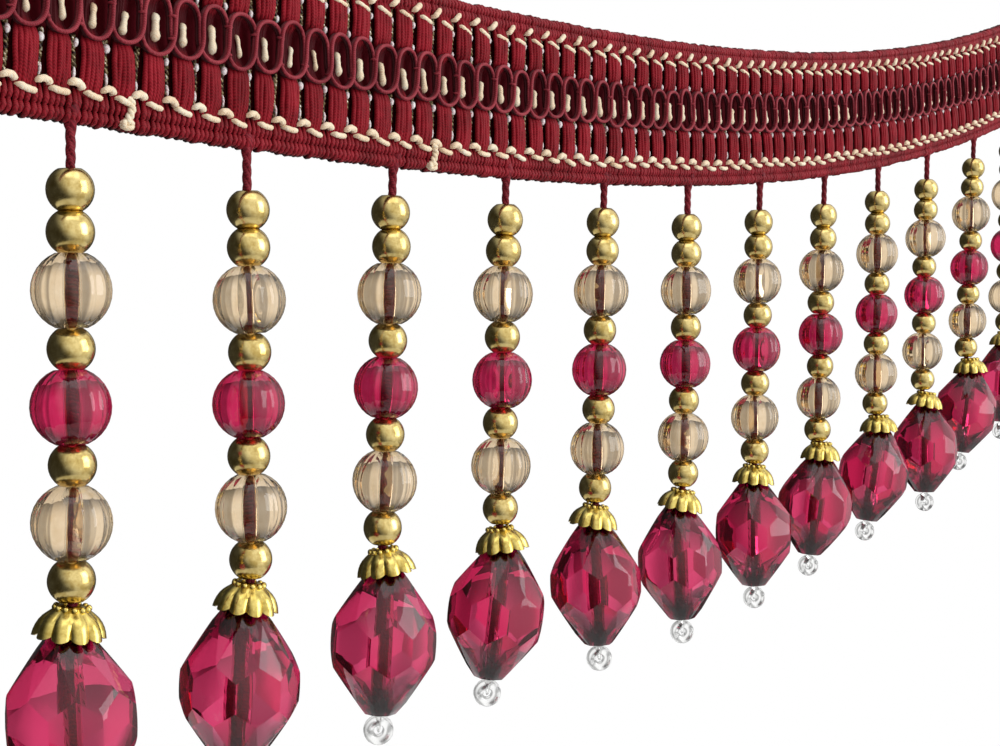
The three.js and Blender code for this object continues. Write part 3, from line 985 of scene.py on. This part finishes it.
def paintShadeAtTips(shape):
    # painted shade: the facet tones darken towards both tips, under the cap and at the lower end
    half = drop["length"] / 2
    tone = shape.data.attributes["paintedFacetLight"]
    for face in shape.data.polygons:
        level = (face.center.z + half) / half
        start = drop["darkTop"] if level > 0 else drop["darkBottom"]
        deep = min(max((abs(level) - start) / drop["darkFade"], 0.0), 1.0)
        tone.data[face.index].value *= 1 - drop["darkest"] * deep


def modelDrop():
    deselectAll()
    half = drop["length"] / 2
    bpy.ops.mesh.primitive_cylinder_add(vertices=32, radius=drop["blankRadius"], depth=drop["length"])
    blank = bpy.context.object
    blank.name = "drop_model"
    bpy.ops.object.mode_set(mode="EDIT")
    for row in drop["facetRows"]:
        tilt = math.radians(row["tilt"])
        for upDown in ((1, -1) if row["level"] else (1,)):
            for side in range(drop["sides"]):
                around = (side + row["turn"]) * 2 * math.pi / drop["sides"]
                outward = Vector((math.cos(around), math.sin(around), 0))
                normal = outward * math.cos(tilt) + Vector((0, 0, upDown * math.sin(tilt)))
                place = outward * row["reach"] * mm + Vector((0, 0, upDown * row["level"] * mm))
                bpy.ops.mesh.select_all(action="SELECT")
                bpy.ops.mesh.bisect(
                    plane_co=place, plane_no=normal, use_fill=True, clear_outer=True, threshold=0.0005 * mm
                )
    bpy.ops.mesh.select_all(action="SELECT")
    bpy.ops.mesh.remove_doubles(threshold=0.004 * mm)
    # the two flat ends are inset to the hole and joined through the middle
    net = bmesh.from_edit_mesh(blank.data)
    for face in net.faces:
        atEnd = abs(abs(face.calc_center_median().z) - half) < 0.05 * mm
        face.select_set(abs(face.normal.z) > 0.999 and atEnd)
    bmesh.update_edit_mesh(blank.data)
    bpy.ops.mesh.inset(thickness=drop["bore"])
    bpy.ops.mesh.bridge_edge_loops()
    bpy.ops.mesh.select_all(action="SELECT")
    bpy.ops.mesh.normals_make_consistent(inside=False)
    bpy.ops.object.mode_set(mode="OBJECT")
    points = readPoints(blank)
    points[:, 2] -= half
    writePoints(blank, points)
    paintFacetLight(blank)
    swellFacets(blank)
    applyModifier(
        blank, "BEVEL", width=drop["edge"], segments=2, limit_method="ANGLE", angle_limit=math.radians(11)
    )
    paintShadeAtTips(blank)
    smoothByAngle(blank, 32)
    return blank


def modelStopBead():
    deselectAll()
    wall = (stop["radius"] - stop["hole"]) / 2
    bpy.ops.mesh.primitive_torus_add(
        major_radius=stop["hole"] + wall, minor_radius=wall, major_segments=28, minor_segments=14
    )
    ring = bpy.context.object
    ring.name = "stop_model"
    bpy.ops.object.mode_set(mode="EDIT")
    bpy.ops.mesh.select_all(action="SELECT")
    bpy.ops.transform.resize(value=(1, 1, stop["length"] / (2 * wall)), center_override=(0, 0, 0))
    bpy.ops.transform.rotate(value=math.pi / 2, orient_axis="X", center_override=(0, 0, 0))
    bpy.ops.transform.rotate(value=-stop["turn"], orient_axis="Z", center_override=(0, 0, 0))
    bpy.ops.object.mode_set(mode="OBJECT")
    smoothByAngle(ring, 60)
    return ring


def placeCopies(name, model, places):
    # each copy has its own mesh, and the copies of one piece are joined
    copies = []
    for matrix in places:
        copy = model.copy()
        copy.data = model.data.copy()
        bpy.context.scene.collection.objects.link(copy)
        copy.data.transform(matrix)
        copies.append(copy)
    pick(copies[0])
    for copy in copies[1:]:
        copy.select_set(True)
    if len(copies) > 1:
        bpy.ops.object.join()
    piece = copies[0]
    piece.name = name
    piece.data.name = name
    return piece


def makeStrand(number, models):
    label = f"{number + 1:02d}"
    places = strandPlaces(number)
    row = places["row"]
    lean = leaning(row["string"])
    seats = {"gold": [], "champagne": [], "ruby": []}
    below = 0.0
    play = np.random.RandomState(60 + number)
    tiltAxis = Vector((0, 0, 1)).cross(strand["sway"])
    for seat, kind in enumerate(stringing):
        middle = places["stringTop"] + places["stringWay"] * (below + beadHeights[kind] / 2)
        middle += strand["sway"] * play.uniform(-1, 1) * strand["beadSlide"]
        tilt = Matrix.Rotation(play.uniform(-1, 1) * strand["beadTilt"], 4, tiltAxis)
        spin = Matrix.Rotation(strand["spinOfSeat"] * seat + strand["spinOfStrand"] * number, 4, "Z")
        rise = Matrix.Translation((0, 0, beadHeights[kind] / 2))
        seats[kind].append(Matrix.Translation(middle) @ tilt @ lean @ rise @ spin)
        below += beadHeights[kind]
    capSeat = Matrix.Translation(places["capTop"]) @ leaning(row["cap"])
    capSeat = capSeat @ Matrix.Rotation(strand["spinOfCap"] * number, 4, "Z")
    capSeat = capSeat @ Matrix.Translation((0, 0, cap["lift"]))
    dropSeat = Matrix.Translation(places["dropStart"]) @ leaning(row["drop"])
    dropSeat = dropSeat @ Matrix.Rotation(dropSpins[number], 4, "Z")
    stopSeat = Matrix.Translation(places["stop"]) @ leaning(row["drop"])
    # name, model, its places, material, slot and the node that it stands for
    pieces = [
        ("gold_beads", "gold", seats["gold"], beadGold, "gold", "beads"),
        ("champagne_beads", "ribbed", seats["champagne"], champagne, "champagne", "beads"),
        ("ruby_bead", "ribbed", seats["ruby"], ruby, "ruby", "beads"),
        ("petal_cap", "cap", [capSeat], capGold, "gold_cap", "cap"),
        ("faceted_drop", "drop", [dropSeat], rubyFacets, "ruby", "drop"),
        ("stop_bead", "stop", [stopSeat], clearGlass, "clear_bead", "stop"),
    ]
    for name, model, seatsOfPiece, look, slot, node in pieces:
        piece = placeCopies(f"{name}_{label}", models[model], seatsOfPiece)
        finishPiece(piece, look, [f"{node}_{label}"])


dropSpins = [0.2, 0.35, 0.1, 0.5, 0.3, 0.0, 0.45, 0.15, 0.6, 0.25, 0.4, 0.05]
models = {
    "gold": modelGoldBead(), "ribbed": modelRibbedBead(), "cap": modelCap(), "drop": modelDrop(),
    "stop": modelStopBead(),
}
for strandNumber in range(len(strandRows)):
    makeStrand(strandNumber, models)
for model in models.values():
    bpy.data.objects.remove(model)
print("strands strung")

# Hanging threads: three plies from the lower edge down through the beads and the drop
hanging = {
    "plies": 3, "plyRadius": 0.355 * mm, "plyOffset": 0.2 * mm, "pitch": 4.2 * mm, "step": 0.4 * mm,
    "flare": 1.0, "flareLength": 2.6 * mm,  # the plies spread where they leave the edge
    "doubled": 0.5, "endInside": 1 * mm,  # the thread comes back up through the drop and ends in it
}
nylon = {"radius": 0.1 * mm, "reach": 0.9 * mm, "inside": 1.2 * mm, "spare": 0.25 * mm}


def makeHangingThreads():
    paths = []
    for number in range(len(strandRows)):
        places = strandPlaces(number)
        inCloth = places["root"] - places["stringWay"] * strand["rootDepth"]
        threadEnd = places["dropEnd"] - places["dropWay"] * hanging["endInside"]
        corners = [inCloth, places["stringEnd"], places["dropStart"], threadEnd]
        points = []
        for first, last in zip(corners, corners[1:]):
            count = max(2, int((last - first).length / hanging["step"]))
            points.extend(first.lerp(last, step / count) for step in range(count))
        points = np.array(points + [corners[-1]])
        travelled = np.linalg.norm(points - points[0], axis=1)
        thickness = 1 + hanging["flare"] * np.clip(1 - travelled / hanging["flareLength"], 0, 1)
        toDrop = (places["dropStart"] - inCloth).length
        thickness += hanging["doubled"] * np.clip((travelled - toDrop) / hanging["flareLength"], 0, 1)
        path = pathOf(*points.T, thickness)
        start = strand["spinOfPlies"] * number
        paths.extend(plied(path, hanging["plies"], hanging["plyOffset"], hanging["pitch"], start))
    piece = threadMesh("hanging_threads", paths, hanging["plyRadius"])
    return finishPiece(piece, hangingRed, ["fringe"])


def makeNylonLoops():
    paths = []
    for number in range(len(strandRows)):
        places = strandPlaces(number)
        across = Vector((math.sin(stop["turn"]), -math.cos(stop["turn"]), 0))
        turn = np.linspace(0, 2 * math.pi, 25)
        top = places["dropEnd"] - places["dropWay"] * nylon["inside"]
        middle = top.lerp(places["stop"], 0.5)
        upHalf = (top - places["stop"]).length / 2 + nylon["spare"]
        squeeze = np.clip(1.15 - 0.9 * np.cos(turn), 0.12, 1)  # narrow where it goes into the drop
        points = np.array(middle) + np.outer(nylon["reach"] * np.sin(turn) * squeeze, across)
        points -= np.outer(upHalf * np.cos(turn), places["dropWay"])
        paths.append(pathOf(*points.T))
    piece = threadMesh("nylon_loops", paths, nylon["radius"])
    return finishPiece(piece, clearGlass, None)


hangingThreads = makeHangingThreads()
makeNylonLoops()

# Studio: a pale round floor below, soft light from the right, and the photograph's camera
studio = {
    "floor": -0.42,
    "radius": 0.5,
    "airRange": (-0.5, 0.95),
    "airLight": (0.14, 0.8),
    "glossRange": (-0.3, 0.8),
    "glossLight": (0.05, 1.15),
    "bandRange": (0.2, 0.7),
    "bandLight": (1.0, 0.1),
    "strips": 8,
    "stripRange": (-0.9, 0.7),
    "stripLight": (0.5, 1.05),
    "keySide": (0.72, -0.25, 0.6),
    "target": Vector((0, 0, -0.05)),
    "cameraPlace": Vector((-233.5, -131.8, -42.36)) * mm,
    "cameraPitch": math.radians(2.494),
    "cameraRoll": math.radians(0.807),
    "lens": 57.6,
    "sensor": 36.0,
}
softLights = [
    # name, place (right of the view, forward, height), size, power, whether gold and clear beads show it
    ("key_softbox", (0.9, -0.15, 0.2), (0.55, 0.8), 4.4, True),
    ("top_softbox", (0.1, -0.25, 0.9), (0.9, 0.6), 1.6, True),
    ("back_softbox", (-0.3, 0.8, 0.25), (0.8, 0.8), 6.0, False),
]
viewForward = Vector((0.7959, 0.6055, 0.0))
viewRight = Vector((0.6055, -0.7959, 0.0))


def besideView(right, forward, height):
    place = viewRight * right + viewForward * forward
    return (place.x, place.y, height)


def floorMaterial():
    look, tree, shader = newMaterial("pale floor")
    place = tree.nodes.new("ShaderNodeTexCoord")
    grain = addNode(tree, "ShaderNodeTexNoise", Scale=60.0, Detail=4.0)
    tree.links.new(place.outputs["Object"], grain.inputs["Vector"])
    colour = ramp(tree, grain.outputs["Fac"], [(0.3, (0.74, 0.74, 0.74)), (0.7, (0.8, 0.8, 0.8))])
    tree.links.new(colour, shader.inputs["Base Color"])
    shader.inputs["Roughness"].default_value = 0.9
    return look


def makeFloor():
    deselectAll()
    bpy.ops.mesh.primitive_circle_add(
        vertices=96, radius=studio["radius"], fill_type="NGON", location=(0, 0, studio["floor"])
    )
    floor = bpy.context.object
    floor.name = "studio_floor"
    bpy.ops.object.mode_set(mode="EDIT")
    bpy.ops.mesh.select_all(action="SELECT")
    bpy.ops.mesh.inset(thickness=0.02)
    bpy.ops.mesh.extrude_region_move(TRANSFORM_OT_translate={"value": (0, 0, 0.004)})
    bpy.ops.object.mode_set(mode="OBJECT")
    bpy.ops.object.transform_apply(location=True)
    floor.data.materials.append(floorMaterial())


def addSoftLight(name, beside, size, power, mirrored):
    place = besideView(*beside)
    bpy.ops.object.light_add(type="AREA", location=place)
    lamp = bpy.context.object
    lamp.name = name
    lamp.data.shape = "RECTANGLE"
    lamp.data.size = size[0]
    lamp.data.size_y = size[1]
    lamp.data.energy = power
    lamp.rotation_euler = (studio["target"] - Vector(place)).to_track_quat("-Z", "Y").to_euler()
    lamp.visible_camera = False
    lamp.visible_glossy = mirrored
    lamp.visible_transmission = mirrored


def makeCamera():
    pitch = studio["cameraPitch"]
    roll = studio["cameraRoll"]
    forward = viewForward.normalized() * math.cos(pitch) + Vector((0, 0, -math.sin(pitch)))
    right = viewRight.normalized()
    up = right.cross(forward)
    x = right * math.cos(roll) + up * math.sin(roll)
    y = up * math.cos(roll) - right * math.sin(roll)
    matrix = Matrix((x, y, -forward)).transposed().to_4x4()
    matrix.translation = studio["cameraPlace"]
    bpy.ops.object.camera_add()
    camera = bpy.context.object
    camera.name = "photo_camera"
    camera.matrix_world = matrix
    camera.data.lens = studio["lens"]
    camera.data.sensor_width = studio["sensor"]
    camera.data.clip_start = 0.01
    camera.data.clip_end = 20.0
    bpy.context.scene.camera = camera


def setPaths():
    # plain display colours, and no more light bounces than the clear beads need
    bpy.context.scene.view_settings.view_transform = "Standard"
    paths = bpy.context.scene.cycles
    paths.max_bounces = 12
    paths.diffuse_bounces = 2
    paths.glossy_bounces = 3
    paths.transmission_bounces = 12
    paths.caustics_reflective = False


def rangeOf(tree, value, limits, results):
    node = addNode(tree, "ShaderNodeMapRange", interpolation_type="SMOOTHSTEP")
    setInputs(node, dict(zip(("From Min", "From Max", "To Min", "To Max"), limits + results)))
    tree.links.new(value, node.inputs["Value"])
    return node.outputs["Result"]


def makeWorld():
    # white to look at, a bright striped band all round for what shines through the clear beads,
    # and air that is brighter on the key light's side, more so in reflections
    world = bpy.data.worlds.new("studio air")
    world.use_nodes = True
    tree = world.node_tree
    background = tree.nodes["Background"]
    kind = tree.nodes.new("ShaderNodeLightPath")
    place = tree.nodes.new("ShaderNodeTexCoord")
    keySide = addNode(tree, "ShaderNodeVectorMath", operation="DOT_PRODUCT")
    keySide.inputs[1].default_value = Vector(besideView(*studio["keySide"])).normalized()
    tree.links.new(place.outputs["Generated"], keySide.inputs[0])
    air = rangeOf(tree, keySide.outputs["Value"], studio["airRange"], studio["airLight"])
    mirrored = rangeOf(tree, keySide.outputs["Value"], studio["glossRange"], studio["glossLight"])
    onGloss = tree.nodes.new("ShaderNodeMix")
    tree.links.new(kind.outputs["Is Glossy Ray"], onGloss.inputs[0])
    tree.links.new(air, onGloss.inputs[2])
    tree.links.new(mirrored, onGloss.inputs[3])
    parts = tree.nodes.new("ShaderNodeSeparateXYZ")
    tree.links.new(place.outputs["Generated"], parts.inputs[0])
    height = mathNode(tree, "ABSOLUTE", parts.outputs["Z"])
    level = rangeOf(tree, height, studio["bandRange"], studio["bandLight"])
    bearing = mathNode(tree, "ARCTAN2", parts.outputs["Y"], parts.outputs["X"])
    fromView = mathNode(tree, "SUBTRACT", bearing, math.atan2(viewForward.y, viewForward.x))
    wave = mathNode(tree, "COSINE", mathNode(tree, "MULTIPLY", fromView, studio["strips"]))
    strips = rangeOf(tree, wave, studio["stripRange"], studio["stripLight"])
    stripedBand = mathNode(tree, "MULTIPLY", level, strips)
    throughBeads = tree.nodes.new("ShaderNodeMix")
    tree.links.new(kind.outputs["Is Transmission Ray"], throughBeads.inputs[0])
    tree.links.new(onGloss.outputs[0], throughBeads.inputs[2])
    tree.links.new(stripedBand, throughBeads.inputs[3])
    seen = tree.nodes.new("ShaderNodeMix")
    seen.inputs[3].default_value = 1.0
    tree.links.new(kind.outputs["Is Camera Ray"], seen.inputs[0])
    tree.links.new(throughBeads.outputs[0], seen.inputs[2])
    tree.links.new(seen.outputs[0], background.inputs["Strength"])
    background.inputs["Color"].default_value = (1, 1, 1, 1)
    bpy.context.scene.world = world


makeFloor()
for softLight in softLights:
    addSoftLight(*softLight)
makeWorld()
makeCamera()
setPaths()
print("studio set")
